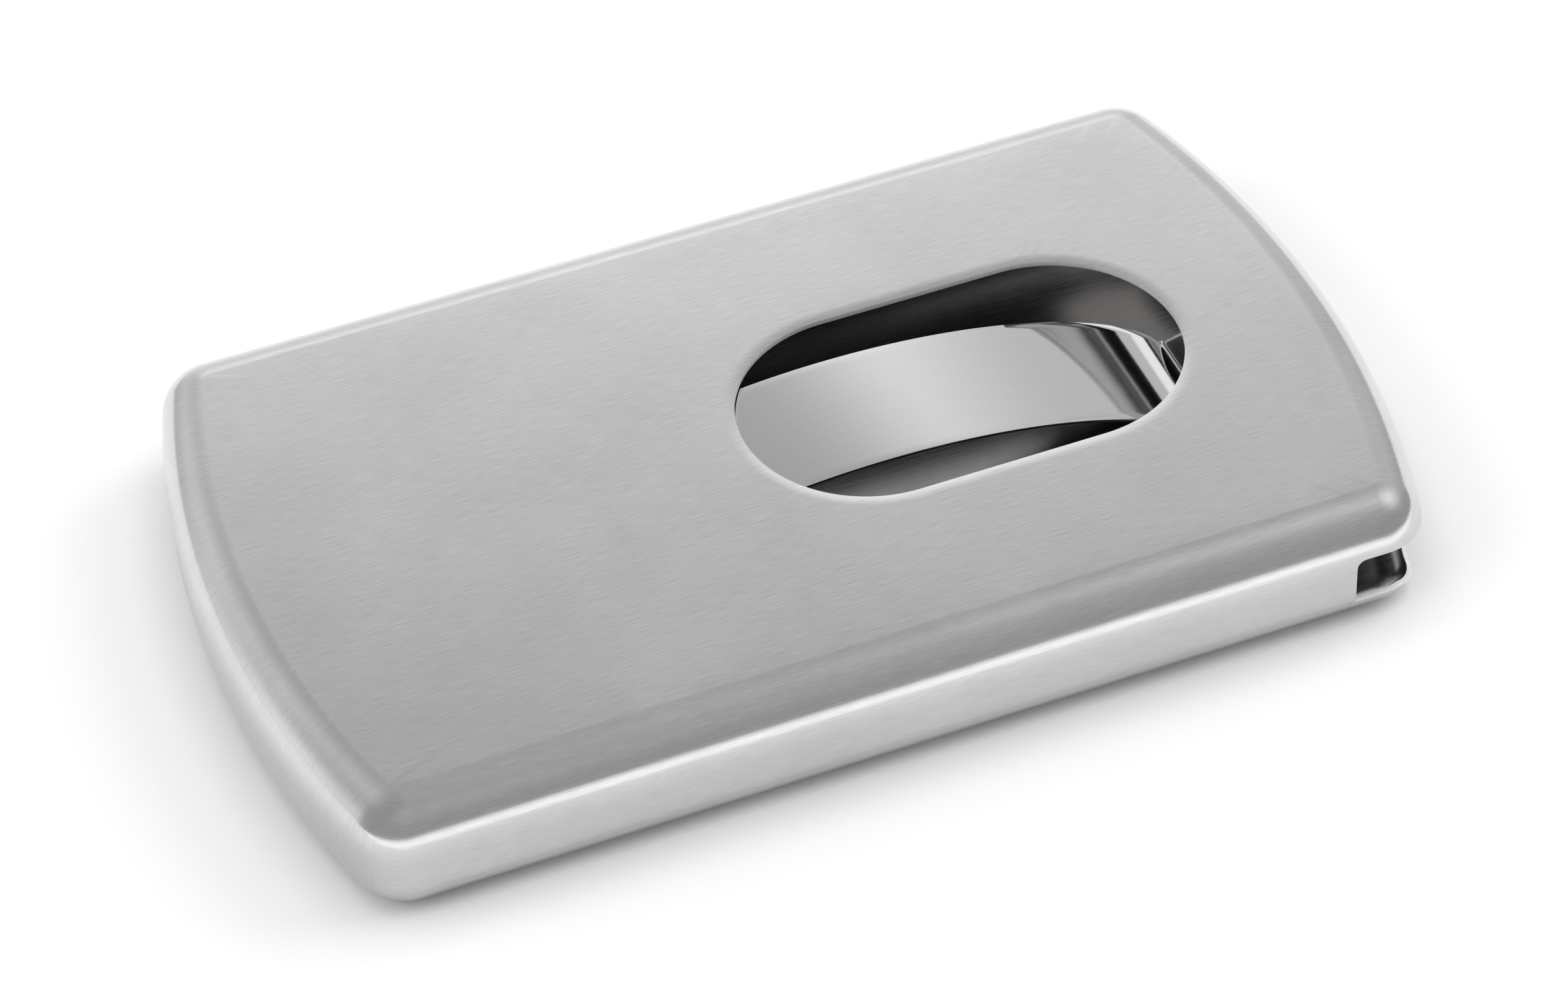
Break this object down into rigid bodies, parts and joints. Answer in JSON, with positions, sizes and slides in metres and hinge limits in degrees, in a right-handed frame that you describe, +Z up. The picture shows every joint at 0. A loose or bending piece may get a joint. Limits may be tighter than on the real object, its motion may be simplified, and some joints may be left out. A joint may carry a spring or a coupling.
{
  "type": "business card case",
  "caption": "Flat pocket case of sheet steel for cards, open at one end, with a thumb slot in the cover and an arched leaf spring inside.",
  "frame": {"origin": "centre of the case's footprint, on the flat underside that it rests on", "axes": "+X along the case towards the open end that the cards slide out of, +Y across it, +Z up through the cover with the thumb slot"},
  "size_m": [0.1014, 0.06, 0.0114],
  "materials": {
    "cover_steel": "fine brushed along the length",
    "tray_steel": "fine brushed along the length, plain inside",
    "spring_steel": "polished, nearly mirror bright"
  },
  "bodies": {
    "case": {"top_cover": "cover_steel", "bottom_tray": "tray_steel"},
    "leaf": {"leaf_spring": "spring_steel"}
  },
  "joints": [
    {"name": "leaf_press", "type": "slide", "parent": "case", "child": "leaf", "axis": [0, 0, -1], "range_m": [0, 0.0077], "stiffness_N_per_m": 300, "springref_m": -0.001, "deforming": ["leaf_spring"]}
  ]
}
